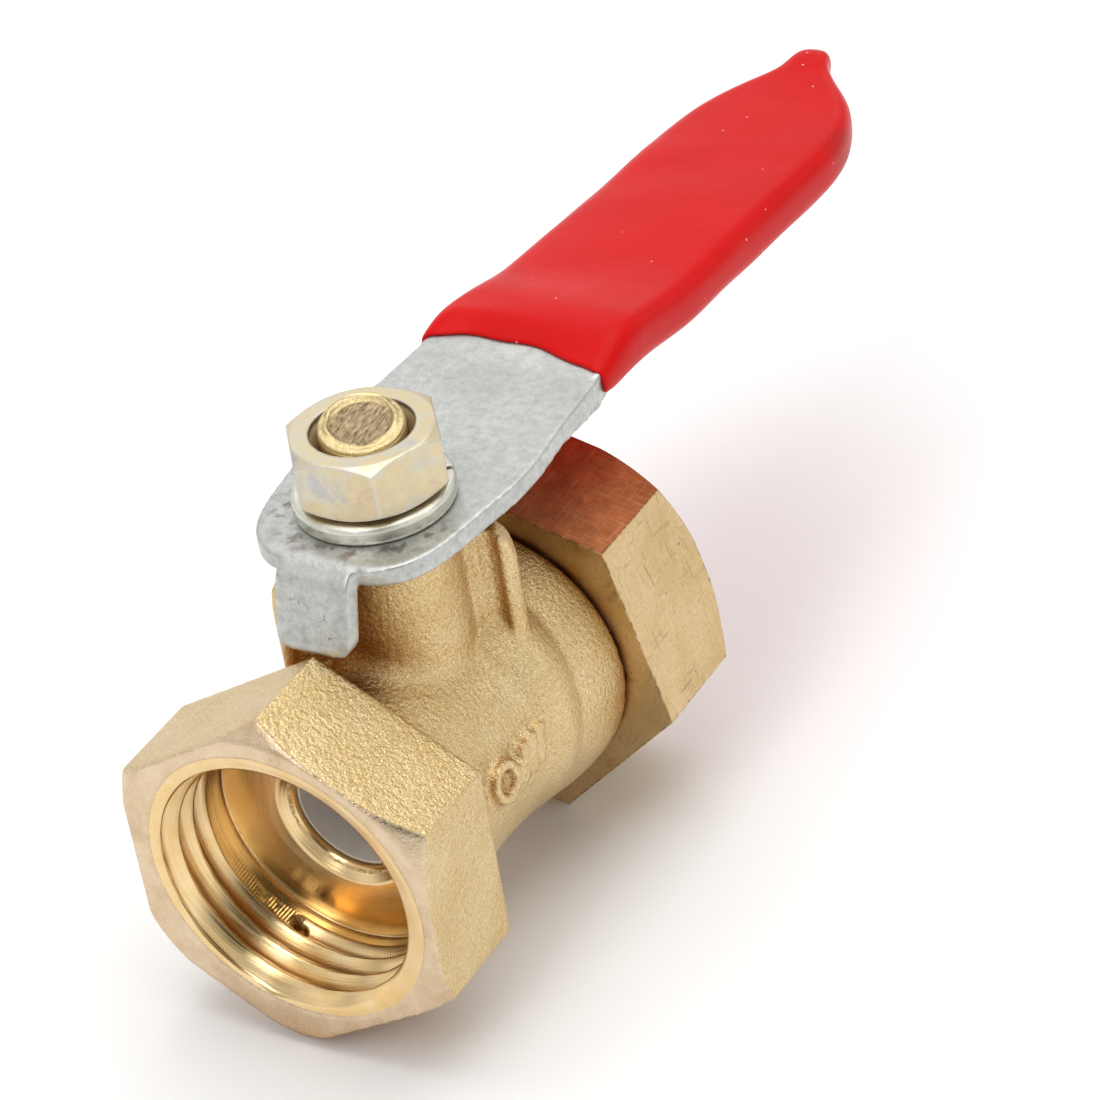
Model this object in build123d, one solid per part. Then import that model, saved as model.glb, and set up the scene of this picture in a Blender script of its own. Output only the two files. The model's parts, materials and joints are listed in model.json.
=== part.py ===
from build123d import *
import math
import os

# Quarter-turn brass ball valve with two G 1/2 internal pipe threads.
# Millimetres. The origin is the centre of the inlet mouth, +Y runs along the pipe axis
# to the end connector, and +Z runs up the stem. The lever is drawn open, along +Y.

# ---- driving dimensions -------------------------------------------------------------
PIPE_MAJOR = 20.955            # G 1/2 major diameter, the root of the internal thread
MOUTH_WIDTH = 21.85            # countersink at each mouth
THREAD_DEPTH = 7.1             # length of the threaded wall from each mouth
SOCKET_DEPTH = 7.55            # where the socket floor starts
PORT_WIDTH = 8.95              # reduced waterway through the body and the connector

FACE_TO_FACE = 39.3
STEM_Y = 18.37                 # stem axis from the inlet face
BODY_HEX_FLATS = 23.7
BODY_HEX_LENGTH = 8.56
HEAVY_SIDES = {180: 0.6, 240: 1.1}      # the forging stands this far out on two flats
HEX_CHAMFER_SHIFT = (-0.5, -0.55)       # its mouth chamfer is turned this far off the bore
CAP_HEX_FLATS = 24.8
CAP_HEX_LENGTH = 10.0
CAP_HEX_TURN = 15.0            # the connector stops 15 degrees round from the body hexagon

BALL_WIDTH = 15.8
BALL_BORE = 8.7
SEAT_WIDTH = 14.6
SEAT_BACK = 9.35               # back of each seat from the stem axis, along the pipe
SEAT_THICKNESS = 4.2
JOINT_THREAD_WIDTH = 17.2      # screwed joint between body and connector

NECK_WIDTH = 10.9
NECK_TOP = 17.9
NECK_FILLET = 1.8              # where the neck grows out of the barrel
STEM_WIDTH = 7.0
STEM_THREAD_WIDTH = 6.0        # M6 stem end
STEM_FLATS = 4.6               # across the two flats that drive the lever
STEM_TOP = 25.75               # middle of its sawn end, which slopes up towards SAW_SIDE
SAW_SIDE = 35                  # degrees from the outlet side towards the left
SAW_TILT = 9.7
BURR_TILT = 16.3               # steeper burr left standing along the high side
COLLAR_WIDTH = 8.7

SHEET = 1.5                    # lever steel thickness
FLANGE = 0.7                   # turned-down edge of the handle, below the sheet
LEVER_TOP = 19.8               # top face of the lever round the stem
LEVER_END = 65.5               # end of the lever steel from the stem axis
TAB_SIDES = (-3.2, 2.65)       # stop tab bent down from the lever's heel
TAB_FACE_TOP = 8.18            # outer face of the tab where it would meet the lever's top
TAB_FACE_BOTTOM = 9.8          # outer face at the tab's free end, which leans outwards
TAB_BOTTOM = 13.6
BEND_R = 2.3                   # outside radius of the bend between plate and tab

WASHER_WIDTH = 11.35
WASHER_THICKNESS = 1.4
NUT_FLATS = 10.0
NUT_HEIGHT = 4.5
NUT_TURN = -52.3               # resting angle of the nut's corners

STOP_REACH = 8.85              # outer edge of the stop ribs from the stem axis
STOP_ANGLES = {"shut": 27.0, "open": -121.5}

RUNNING = 0.05                 # radial clearance of turning parts
JOINT_GAP = 0.03               # radial gap of the screwed joint

# ---- derived sizes ------------------------------------------------------------------
PIPE_R = PIPE_MAJOR / 2
MOUTH_R = MOUTH_WIDTH / 2
PORT_R = PORT_WIDTH / 2
BALL_R = BALL_WIDTH / 2
BALL_BORE_R = BALL_BORE / 2
SEAT_R = SEAT_WIDTH / 2
NECK_R = NECK_WIDTH / 2
STEM_R = STEM_WIDTH / 2
STEM_THREAD_R = STEM_THREAD_WIDTH / 2
COLLAR_R = COLLAR_WIDTH / 2
JOINT_R = JOINT_THREAD_WIDTH / 2
BODY_HEX_R = BODY_HEX_FLATS / math.sqrt(3)
HEAVY_R = BODY_HEX_R + max(HEAVY_SIDES.values()) + 0.8
CAP_HEX_R = CAP_HEX_FLATS / math.sqrt(3)
NUT_R = NUT_FLATS / math.sqrt(3)
CAP_FACE = FACE_TO_FACE - CAP_HEX_LENGTH
BARREL_END = CAP_FACE - 0.2
LEVER_BASE = LEVER_TOP - SHEET
WASHER_TOP = LEVER_TOP + WASHER_THICKNESS
NUT_TOP = WASHER_TOP + NUT_HEIGHT
COLLAR_BASE = BALL_R + 0.35
COLLAR_TOP = COLLAR_BASE + 1.5
THRUST_TOP = COLLAR_TOP + 0.8
TANG_BASE = BALL_R - 1.9
SLOT_BASE = BALL_R - 2.1
O_RING_LEVELS = (12.7, 15.3)
O_RING_SECTION = 1.0
GROOVE_R = 2.5

STEM_AXIS = Pos(0, STEM_Y, 0)

# Handle stations from the stem axis: distance, rise of the steel's top face above the
# plate, half width of the steel. The handle humps up, then runs gently down to its tip.
HANDLE = [
    (17.6, 0.0, 7.5),
    (20.3, 0.45, 7.15),
    (23.4, 0.8, 6.85),
    (26.5, 0.3, 6.75),
    (29.8, -0.35, 6.7),
    (36.0, -0.9, 6.5),
    (44.5, -1.55, 6.4),
    (52.6, -2.2, 6.45),
    (57.6, -2.6, 6.3),
    (61.6, -2.85, 5.1),
    (64.2, -3.05, 3.0),
]
TIP_RISE = -3.15

# Vinyl sleeve sections from the stem axis: distance, left and right side, top, underside.
# It is snug at its mouth, and at its tip the coat runs out into a drip nub on one side.
SLEEVE = [
    (18.3, -7.8, 7.75, 20.15, 18.1),
    (20.4, -7.85, 7.85, 20.85, 17.6),
    (23.4, -7.65, 7.85, 21.25, 17.35),
    (26.5, -7.55, 7.8, 20.8, 16.9),
    (29.8, -7.55, 7.8, 20.15, 16.3),
    (36.0, -7.5, 7.75, 19.6, 15.65),
    (44.5, -7.5, 7.65, 18.95, 15.0),
    (52.6, -7.6, 7.6, 18.3, 14.4),
    (57.6, -7.4, 7.2, 17.95, 14.2),
    (61.0, -6.65, 6.1, 17.8, 14.3),
    (63.6, -5.5, 4.65, 17.75, 14.3),
    (65.6, -4.25, 2.95, 17.7, 14.35),
    (67.2, -3.2, 1.45, 17.8, 15.3),
    (68.4, -2.9, 0.65, 17.95, 15.55),
    (69.5, -2.6, 0.25, 17.85, 15.65),
    (70.2, -2.1, -0.3, 17.45, 15.9),
]
SLEEVE_END = 70.55


# ---- shape helpers ------------------------------------------------------------------
def turned(points):
    """Solid of revolution about Y from (radius, distance along Y) corner points."""
    outline = make_face(Polyline(*points, close=True))
    return revolve(outline, Axis.Y, 360)


def turned_on_stem(points):
    """Solid of revolution about the stem axis from (radius, height) corner points."""
    return STEM_AXIS * Rot(90, 0, 0) * turned(points)


def across_pipe(y):
    """Plane square to the pipe axis, facing +Y."""
    return Plane(origin=(0, y, 0), x_dir=(1, 0, 0), z_dir=(0, 1, 0))


def hexagon_bar(corner_radius, y, length, turn):
    """Hexagonal bar along the pipe axis."""
    section = across_pipe(y) * RegularPolygon(corner_radius, 6, rotation=turn)
    return extrude(section, length)


def socket_points(mouth, inward):
    """Outline of one threaded socket and its port, from a mouth towards the ball."""
    port_end = SOCKET_DEPTH + 3.0
    steps = [
        (0, -0.5),
        (MOUTH_R, -0.5),
        (MOUTH_R, 0),
        (PIPE_R, MOUTH_R - PIPE_R),
        (PIPE_R, THREAD_DEPTH),
        (PIPE_R - 0.7, SOCKET_DEPTH),
        (PORT_R + 0.95, SOCKET_DEPTH + 0.4),
        (PORT_R, SOCKET_DEPTH + 1.0),
        (PORT_R, port_end),
        (0, port_end),
    ]
    return [(radius, mouth + inward * depth) for radius, depth in steps]


def rounded_at(face, point, radius):
    """Sketch face with the corner nearest to point rounded."""
    target = Vector(*point, 0)
    corner = face.vertices().sort_by(lambda vertex: (Vector(vertex) - target).length)[0]
    return fillet(corner, radius)


# ---- body -----------------------------------------------------------------------------
def body_hexagon():
    """Inlet hexagon, uneven as forged, with its corners turned off at the mouth."""
    corners = []
    for angle in range(0, 360, 60):
        reach = BODY_HEX_FLATS / 2 + HEAVY_SIDES.get(angle, 0)
        next_reach = BODY_HEX_FLATS / 2 + HEAVY_SIDES.get((angle + 60) % 360, 0)
        along = (next_reach - reach / 2) / math.sin(math.radians(60))
        turn = math.radians(angle)
        x = reach * math.cos(turn) - along * math.sin(turn)
        z = reach * math.sin(turn) + along * math.cos(turn)
        corners.append((x, -z))
    section = across_pipe(0) * make_face(Polyline(*corners, close=True))
    shift_x, shift_z = HEX_CHAMFER_SHIFT
    face_r = BODY_HEX_FLATS / 2 + 0.85
    chamfer_slope = 0.73
    limit = turned([
        (0, 0),
        (face_r, 0),
        (HEAVY_R, (HEAVY_R - face_r) * chamfer_slope),
        (HEAVY_R, BODY_HEX_LENGTH - 0.5),
        (HEAVY_R - 1.0, BODY_HEX_LENGTH),
        (0, BODY_HEX_LENGTH),
    ])
    return extrude(section, BODY_HEX_LENGTH) & Pos(shift_x, 0, shift_z) * limit


def body_barrel():
    """Waist behind the hexagon, then the fuller barrel that takes the connector."""
    waist_r = 9.45
    end_r = 10.6
    curve = Spline(
        (waist_r + 1.2, BODY_HEX_LENGTH - 0.2),
        (waist_r + 0.2, BODY_HEX_LENGTH + 1.2),
        (waist_r, BODY_HEX_LENGTH + 3.5),
        (waist_r, STEM_Y - 0.6),
        (end_r - 0.55, STEM_Y + 4.0),
        (end_r, STEM_Y + 7.0),
        (end_r, BARREL_END),
    )
    back = Polyline((end_r, BARREL_END), (0, BARREL_END), (0, 4.0), (waist_r + 1.2, 4.0),
                    (waist_r + 1.2, BODY_HEX_LENGTH - 0.2))
    return revolve(make_face(curve + back), Axis.Y, 360)


def barrel_ridge():
    """Rounded ridge over the barrel's shoulder. It fades out underneath."""
    crest_r = 10.5
    rise = 0.85
    crest_y = STEM_Y + 2.9
    curve = Spline(
        (crest_r - 2.2, crest_y - 3.3),
        (crest_r - 0.9, crest_y - 1.7),
        (crest_r, crest_y),
        (crest_r - 0.35, crest_y + 2.4),
        (crest_r - 2.2, crest_y + 6.0),
    )
    back = Polyline((crest_r - 2.2, crest_y + 6.0), (0, crest_y + 6.0), (0, crest_y - 3.3),
                    (crest_r - 2.2, crest_y - 3.3))
    return Pos(0, 0, rise) * revolve(make_face(curve + back), Axis.Y, 360)


def body_neck():
    """Stem housing."""
    return turned_on_stem([
        (0, 2.0),
        (NECK_R + 0.1, 2.0),
        (NECK_R, NECK_TOP - 0.5),
        (NECK_R - 0.5, NECK_TOP),
        (0, NECK_TOP),
    ])


def rounded_trunk():
    """Barrel, ridge and neck, with a full fillet where the neck grows out of the barrel."""
    trunk = body_barrel() + barrel_ridge() + body_neck()
    root_height = 8.6
    roots = trunk.edges().filter_by(
        lambda edge: abs(edge.center().Z - root_height) < 2.2
        and (edge.center() - Vector(0, STEM_Y, edge.center().Z)).length < NECK_R + 1.5)
    return fillet(roots, NECK_FILLET)


def stop_rib(angle):
    """Rib on the neck that stops the lever's tab: a web with a grooved bead at its edge."""
    half = 1.0
    bead_r = 0.95
    low, shoulder = 6.0, 14.4
    inner = NECK_R - 0.9
    edge = STOP_REACH - bead_r
    outline = Polyline((inner, low), (STOP_REACH, low), (STOP_REACH, shoulder),
                       (STOP_REACH - 0.4, 15.8), (STOP_REACH - 1.2, 16.8), (inner, 17.3),
                       close=True)
    web = extrude(Plane.XZ * make_face(outline), half, both=True)
    limit = Pos(edge, 0, 12) * Cylinder(bead_r, 12) + Pos(edge / 2, 0, 12) * Box(edge, 3, 12)
    groove = Pos(7.0, -1.3, 12) * Cylinder(0.85, 14)
    return STEM_AXIS * Rot(0, 0, angle) * ((web & limit) - groove)


def body_marks():
    """Raised forging marks on the side of the waist: a ring and three slanted bars."""
    side = Plane(origin=(0, STEM_Y - 2.6, 0), x_dir=(0, 1, 0), z_dir=(1, 0, 0))
    lift = 10.15
    marks = Pos(-1.9, 0) * (Circle(1.6) - Circle(0.9))
    for x in (0.5, 1.7, 2.9):
        marks += Pos(x, 0) * Rot(0, 0, -20) * Rectangle(0.7, 3.0)
    return Rot(0, -8, 0) * extrude(side * marks, lift)


def body_cavity():
    """Socket, seat pocket, ball chamber and joint thread, open towards the connector."""
    seat_floor = STEM_Y - SEAT_BACK
    chamber_start = seat_floor + SEAT_THICKNESS - 0.3
    chamber_end = STEM_Y + 3.3
    chamber = turned([
        (0, seat_floor),
        (SEAT_R + RUNNING, seat_floor),
        (SEAT_R + RUNNING, chamber_start),
        (BALL_R + 0.2, chamber_start),
        (BALL_R + 0.2, chamber_end),
        (JOINT_R + JOINT_GAP, chamber_end),
        (JOINT_R + JOINT_GAP, BARREL_END + 1),
        (0, BARREL_END + 1),
    ])
    return turned(socket_points(0, 1)) + chamber


def stem_cavity():
    """Stepped hole for the stem, widest inside so the stem can't blow out."""
    return turned_on_stem([
        (0, 4.0),
        (COLLAR_R + RUNNING, 4.0),
        (COLLAR_R + RUNNING, THRUST_TOP),
        (STEM_R + RUNNING, THRUST_TOP),
        (STEM_R + RUNNING, NECK_TOP + 1),
        (0, NECK_TOP + 1),
    ])


def body():
    """Forged and machined valve body."""
    shape = rounded_trunk() + body_hexagon() + body_marks()
    for angle in STOP_ANGLES.values():
        shape += stop_rib(angle)
    return shape - body_cavity() - stem_cavity()


# ---- end connector --------------------------------------------------------------------
def end_connector():
    """Hexagonal outlet connector that screws into the barrel and holds the rear seat."""
    bar = hexagon_bar(CAP_HEX_R, CAP_FACE, CAP_HEX_LENGTH, CAP_HEX_TURN)
    limit = turned([
        (0, CAP_FACE),
        (CAP_HEX_R + 0.1, CAP_FACE),
        (CAP_HEX_R + 0.1, FACE_TO_FACE - 1.7),
        (CAP_HEX_FLATS / 2 + 0.1, FACE_TO_FACE),
        (0, FACE_TO_FACE),
    ])
    nose = STEM_Y + 4.5
    seat_floor = STEM_Y + SEAT_BACK
    spigot = turned([
        (0, nose),
        (JOINT_R - 0.5, nose),
        (JOINT_R, nose + 0.5),
        (JOINT_R, CAP_FACE + 1),
        (0, CAP_FACE + 1),
    ])
    seat_pocket = turned([
        (0, nose - 1),
        (SEAT_R + RUNNING, nose - 1),
        (SEAT_R + RUNNING, seat_floor),
        (PORT_R, seat_floor),
        (PORT_R, FACE_TO_FACE - SOCKET_DEPTH - 2),
        (0, FACE_TO_FACE - SOCKET_DEPTH - 2),
    ])
    return (bar & limit) + spigot - seat_pocket - turned(socket_points(FACE_TO_FACE, -1))


# ---- ball and seats -------------------------------------------------------------------
def ball():
    """Bored ball with the slot across its top that the stem turns it by."""
    shape = Sphere(BALL_R) - Rot(90, 0, 0) * Cylinder(BALL_BORE_R, 2 * BALL_R)
    slot = Pos(0, 0, SLOT_BASE + BALL_R / 2) * Box(2 * BALL_R, 2.6, BALL_R)
    return STEM_AXIS * (shape - slot)


def seat(side):
    """Ring seat with a spherical contact face; side is -1 for the inlet, +1 for the outlet."""
    inner_r = BALL_BORE_R
    ring = turned([
        (inner_r, SEAT_BACK),
        (inner_r, SEAT_BACK - SEAT_THICKNESS),
        (SEAT_R - 0.4, SEAT_BACK - SEAT_THICKNESS),
        (SEAT_R, SEAT_BACK - SEAT_THICKNESS + 0.4),
        (SEAT_R, SEAT_BACK),
    ])
    cup = ring - Sphere(BALL_R + RUNNING)
    turn = 0 if side > 0 else 180
    return STEM_AXIS * Rot(0, 0, turn) * cup


# ---- stem and its seals ---------------------------------------------------------------
def above_saw(tilt):
    """Block above a sloping cut through the stem's top."""
    block = Pos(0, 0, 5) * Box(14, 14, 10)
    return STEM_AXIS * Pos(0, 0, STEM_TOP) * Rot(0, 0, SAW_SIDE) * Rot(tilt, 0, 0) * block


def stem():
    """Stem with driving tang, inner collar, two seal grooves, lever flats and M6 end."""
    half = O_RING_SECTION / 2 + 0.1
    shaft = [(0, COLLAR_BASE), (COLLAR_R, COLLAR_BASE), (COLLAR_R, COLLAR_TOP),
             (STEM_R, COLLAR_TOP)]
    for level in O_RING_LEVELS:
        shaft += [(STEM_R, level - half), (GROOVE_R, level - half),
                  (GROOVE_R, level + half), (STEM_R, level + half)]
    shaft += [(STEM_R, LEVER_BASE), (STEM_THREAD_R, LEVER_BASE),
              (STEM_THREAD_R, STEM_TOP + 2), (0, STEM_TOP + 2)]
    burr = [(STEM_THREAD_R - 0.5, STEM_TOP - 1), (STEM_THREAD_R - 0.1, STEM_TOP - 1),
            (STEM_THREAD_R - 0.1, STEM_TOP + 2), (STEM_THREAD_R - 0.5, STEM_TOP + 2)]
    tang_height = COLLAR_BASE - TANG_BASE + 0.5
    tang = Pos(0, 0, TANG_BASE + tang_height / 2) * Box(6.4, 2.4, tang_height)
    flat_height = SHEET + 0.3
    flat = Pos(STEM_FLATS / 2 + 2, 0, LEVER_BASE + flat_height / 2) * Box(4, 10, flat_height)
    flats = flat + Rot(0, 0, 180) * flat
    sawn = turned_on_stem(shaft) - above_saw(SAW_TILT) + (turned_on_stem(burr) - above_saw(BURR_TILT))
    return sawn + STEM_AXIS * tang - STEM_AXIS * flats


def thrust_washer():
    """Low-friction washer between the stem collar and the neck."""
    return turned_on_stem([
        (STEM_R + RUNNING, COLLAR_TOP),
        (COLLAR_R, COLLAR_TOP),
        (COLLAR_R, THRUST_TOP - 0.02),
        (STEM_R + RUNNING, THRUST_TOP - 0.02),
    ])


def stem_o_ring(level):
    """O-ring in one of the stem's grooves."""
    ring_r = O_RING_SECTION / 2
    return STEM_AXIS * Pos(0, 0, level) * Torus(GROOVE_R + ring_r, ring_r)


# ---- lever and its fastening ----------------------------------------------------------
def lever_strip(depth):
    """Handle part of the lever, depth thick under its top line and wider than the plan."""
    top = [(y, LEVER_TOP + rise) for y, rise, _ in HANDLE]
    top.append((LEVER_END + 1, LEVER_TOP + TIP_RISE))
    under = [(y, z - depth) for y, z in top]
    outline = Spline(*top) + Line(top[-1], under[-1]) + Spline(*reversed(under))
    outline += Line(under[0], top[0])
    return extrude(Plane.YZ * make_face(outline), 10, both=True)


def lever_plan(inset):
    """Plan view of the lever, inset from its edge."""
    right = [(7.55, -1.6), (7.95, 1.4), (8.4, 4.6), (8.35, 8.2), (7.85, 12.6)]
    right += [(half_width, y) for y, _, half_width in HANDLE]
    right = [(x - inset, y) for x, y in right]
    left = [(-x, y) for x, y in reversed(right)]
    right_heel = [(3.5 - inset, -7.4), (6.1 - inset, -5.8)]
    left_heel = [(inset - 6.1, -5.8), (inset - 4.0, -7.5)]
    outline = Spline(*right_heel, *right, (0, LEVER_END - inset), *left, *left_heel)
    outline += Line(left_heel[-1], right_heel[0])
    return extrude(make_face(outline), 40)


def lever_tab():
    """Stop tab bent down at the lever's heel, leaning outwards, its low corners rounded."""
    lean = (TAB_FACE_BOTTOM - TAB_FACE_TOP) / (LEVER_TOP - TAB_BOTTOM)
    across = SHEET * math.hypot(1, lean)
    outer = (-TAB_FACE_TOP, LEVER_TOP)
    inner = (across - TAB_FACE_TOP - lean * SHEET, LEVER_BASE)
    profile = make_face(Polyline(
        (-5.0, LEVER_TOP),
        outer,
        (-TAB_FACE_BOTTOM, TAB_BOTTOM),
        (across - TAB_FACE_BOTTOM, TAB_BOTTOM),
        inner,
        (-5.0, LEVER_BASE),
        close=True,
    ))
    profile = rounded_at(profile, outer, BEND_R)
    profile = rounded_at(profile, inner, 0.8)
    left, right = TAB_SIDES
    tab = Pos(left, 0, 0) * extrude(Plane.YZ * profile, right - left)
    corners = tab.edges().filter_by(
        lambda edge: edge.center().Z < TAB_BOTTOM + 0.1 and abs(edge.tangent_at(0.5).Y) > 0.9)
    return fillet(corners, 1.0)


def inside_bend():
    """Everything within the outer face of the heel's bend, to trim the plate by."""
    outer = (-TAB_FACE_TOP, LEVER_TOP)
    profile = make_face(Polyline(
        (HANDLE[0][0], LEVER_TOP),
        outer,
        (-TAB_FACE_BOTTOM, TAB_BOTTOM),
        (HANDLE[0][0], TAB_BOTTOM),
        close=True,
    ))
    return extrude(Plane.YZ * rounded_at(profile, outer, BEND_R), 10, both=True)


def flange_run_in():
    """Wedge by which the plate's edge deepens towards the handle."""
    start = HANDLE[0][0]
    wedge = make_face(Polyline(
        (start - 8, LEVER_BASE + 0.2),
        (start + 0.1, LEVER_BASE + 0.2),
        (start + 0.1, LEVER_BASE - FLANGE),
        close=True,
    ))
    return extrude(Plane.YZ * wedge, 10, both=True)


def lever():
    """Pressed steel lever: flat round the stem, channel-shaped under the sleeve."""
    plate = Pos(0, 0, LEVER_BASE) * extrude(Rectangle(24, 2 * HANDLE[0][0]), SHEET)
    handle = lever_strip(SHEET)
    edges = lever_strip(SHEET + FLANGE)
    plan = lever_plan(0)
    rim = plan - lever_plan(SHEET)
    shape = (plate & plan & inside_bend()) + (handle & plan)
    shape += (edges & rim) + (flange_run_in() & rim)
    shape += lever_tab()
    hole = extrude(Circle(STEM_THREAD_R + RUNNING) & Rectangle(STEM_FLATS + 0.1, 10), 40)
    return STEM_AXIS * (shape - hole)


def lever_sleeve():
    """Dipped vinyl sleeve that encloses the handle, with a drip nub at its tip."""
    sections = []
    for y, left, right, top, underside in SLEEVE:
        height = top - underside
        outline = RectangleRounded(right - left, height, height * 0.38)
        middle = ((left + right) / 2, -(top + underside) / 2)
        sections.append(across_pipe(y) * Pos(*middle, 0) * outline)
    left, right, top, underside = SLEEVE[-1][1:]
    tip = Pos((left + right) / 2, SLEEVE[-1][0], (top + underside) / 2)
    cap = tip * scale(Sphere(1), ((right - left) / 2, SLEEVE_END - SLEEVE[-1][0],
                                  (top - underside) / 2))
    return STEM_AXIS * (loft(sections) + cap) - lever()


def lock_washer():
    """Split spring washer, flattened by the nut, with softened outer edges."""
    outer_r = WASHER_WIDTH / 2
    soft = 0.35
    washer = turned_on_stem([
        (STEM_THREAD_R + 0.15, LEVER_TOP),
        (outer_r - soft, LEVER_TOP),
        (outer_r - soft * 0.29, LEVER_TOP + soft * 0.29),
        (outer_r, LEVER_TOP + soft),
        (outer_r, WASHER_TOP - soft),
        (outer_r - soft * 0.29, WASHER_TOP - soft * 0.29),
        (outer_r - soft, WASHER_TOP),
        (STEM_THREAD_R + 0.15, WASHER_TOP),
    ])
    split = Pos(WASHER_WIDTH / 4 + 1, 0, LEVER_TOP + WASHER_THICKNESS / 2) * (
        Rot(25, 0, 0) * Box(WASHER_WIDTH / 2, 0.4, 3 * WASHER_THICKNESS))
    return washer - STEM_AXIS * Rot(0, 0, 41) * split


def lever_nut():
    """M6 hexagon nut, chamfered at both ends and countersunk at its hole."""
    bar = Pos(0, 0, WASHER_TOP) * extrude(RegularPolygon(NUT_R, 6, rotation=NUT_TURN),
                                          NUT_HEIGHT)
    limit = Rot(90, 0, 0) * turned([
        (0, WASHER_TOP),
        (NUT_FLATS / 2 - 0.35, WASHER_TOP),
        (NUT_R + 0.1, WASHER_TOP + 0.8),
        (NUT_R + 0.1, NUT_TOP - 0.6),
        (NUT_FLATS / 2 - 0.05, NUT_TOP),
        (0, NUT_TOP),
    ])
    hole_r = STEM_THREAD_R + 0.02
    hole = Rot(90, 0, 0) * turned([
        (0, WASHER_TOP - 1),
        (hole_r + 0.6, WASHER_TOP - 1),
        (hole_r + 0.6, WASHER_TOP),
        (hole_r, WASHER_TOP + 0.6),
        (hole_r, NUT_TOP - 1.1),
        (hole_r + 0.65, NUT_TOP - 0.35),
        (hole_r + 0.65, NUT_TOP + 1),
        (0, NUT_TOP + 1),
    ])
    return STEM_AXIS * ((bar & limit) - hole)


PARTS = {
    "body": body,
    "end_connector": end_connector,
    "ball": ball,
    "inlet_seat": lambda: seat(-1),
    "outlet_seat": lambda: seat(1),
    "stem": stem,
    "thrust_washer": thrust_washer,
    "stem_o_ring_lower": lambda: stem_o_ring(O_RING_LEVELS[0]),
    "stem_o_ring_upper": lambda: stem_o_ring(O_RING_LEVELS[1]),
    "lever": lever,
    "lever_sleeve": lever_sleeve,
    "lock_washer": lock_washer,
    "lever_nut": lever_nut,
}

os.makedirs("parts", exist_ok=True)
for node, make in PARTS.items():
    shape = make()
    solids = shape.solids()
    print(node, len(solids), round(shape.volume, 1))
    export_step(solids[0] if len(solids) == 1 else Compound(solids), f"parts/{node}.step")
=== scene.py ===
import bpy
import json
import math
from mathutils import Matrix, Vector, noise


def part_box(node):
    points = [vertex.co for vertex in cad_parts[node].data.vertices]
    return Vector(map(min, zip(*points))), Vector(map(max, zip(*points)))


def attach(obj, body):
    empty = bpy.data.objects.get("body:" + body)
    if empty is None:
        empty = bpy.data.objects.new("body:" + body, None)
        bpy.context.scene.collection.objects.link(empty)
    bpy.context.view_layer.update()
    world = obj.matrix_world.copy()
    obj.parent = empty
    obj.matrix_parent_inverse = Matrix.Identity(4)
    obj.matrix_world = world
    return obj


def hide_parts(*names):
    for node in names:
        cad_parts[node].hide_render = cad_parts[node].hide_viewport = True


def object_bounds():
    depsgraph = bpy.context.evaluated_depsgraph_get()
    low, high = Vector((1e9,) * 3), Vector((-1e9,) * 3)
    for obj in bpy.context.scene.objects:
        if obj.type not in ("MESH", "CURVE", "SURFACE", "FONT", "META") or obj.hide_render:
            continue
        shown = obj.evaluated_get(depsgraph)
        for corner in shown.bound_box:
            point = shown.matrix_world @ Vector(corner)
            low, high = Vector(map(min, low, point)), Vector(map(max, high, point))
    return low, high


# Looks of the quarter-turn brass ball valve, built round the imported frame. Metres, row frame.
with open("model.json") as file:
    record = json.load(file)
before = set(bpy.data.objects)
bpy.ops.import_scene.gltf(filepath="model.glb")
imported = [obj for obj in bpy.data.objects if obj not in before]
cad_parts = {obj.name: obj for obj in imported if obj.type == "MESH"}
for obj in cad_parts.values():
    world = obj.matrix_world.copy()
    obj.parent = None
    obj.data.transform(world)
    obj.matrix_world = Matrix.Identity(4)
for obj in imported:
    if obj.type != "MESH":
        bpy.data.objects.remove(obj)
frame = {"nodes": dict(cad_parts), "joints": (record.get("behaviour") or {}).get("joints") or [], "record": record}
cad_low, cad_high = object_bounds()

MM = 0.001
NODES = frame["nodes"]
STEM = Vector(frame["joints"][0]["pos_m"])
MOUNTS = {mount["name"]: mount for mount in frame["record"]["mounts"]}


# ---- stage ------------------------------------------------------------------------------
EYE = Vector((136.71, -160.41, 164.49)) * MM
AIM = Vector((5.52, 29.78, 9.19)) * MM
ROLL = math.radians(-9.6)
LENS = 129.51
SENSOR = 36                                         # width in millimetres, like the lens
SKY = 0.80                                          # brightness of the tent all round
GAP_SKY = 0.04                                      # and inside its opening
TENT_GAP = (math.radians(15), math.radians(34))     # half angles where the opening starts and ends
TENT_FOLD = 0.45                                    # size of the tent's uneven patches
FLOOR_HALF = 3.0
SOFT_BOXES = (                                      # name, place, size and watts
    ("top_box", (0.02, 0.12, 0.75), (0.8, 0.8), 3.2),
    ("front_box", (0.02, -0.50, 0.50), (0.25, 0.35), 0.9),
    ("right_box", (0.60, 0.10, 0.25), (0.4, 0.4), 0.25),
    ("left_box", (-0.52, 0.54, 0.33), (0.30, 0.20), 0.16),
)


def facing(place, aim):
    """Rotation that points an object's -Z from place to aim."""
    return (Vector(aim) - Vector(place)).to_track_quat("-Z", "Y").to_matrix()


def link(thing):
    bpy.context.scene.collection.objects.link(thing)
    return thing


def add_camera():
    data = bpy.data.cameras.new("camera")
    data.lens = LENS
    data.sensor_width = SENSOR
    data.clip_start = 0.01
    data.clip_end = 10
    camera = link(bpy.data.objects.new("camera", data))
    turn = facing(EYE, AIM) @ Matrix.Rotation(ROLL, 3, "Z")
    camera.matrix_world = Matrix.Translation(EYE) @ turn.to_4x4()
    bpy.context.scene.camera = camera


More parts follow.
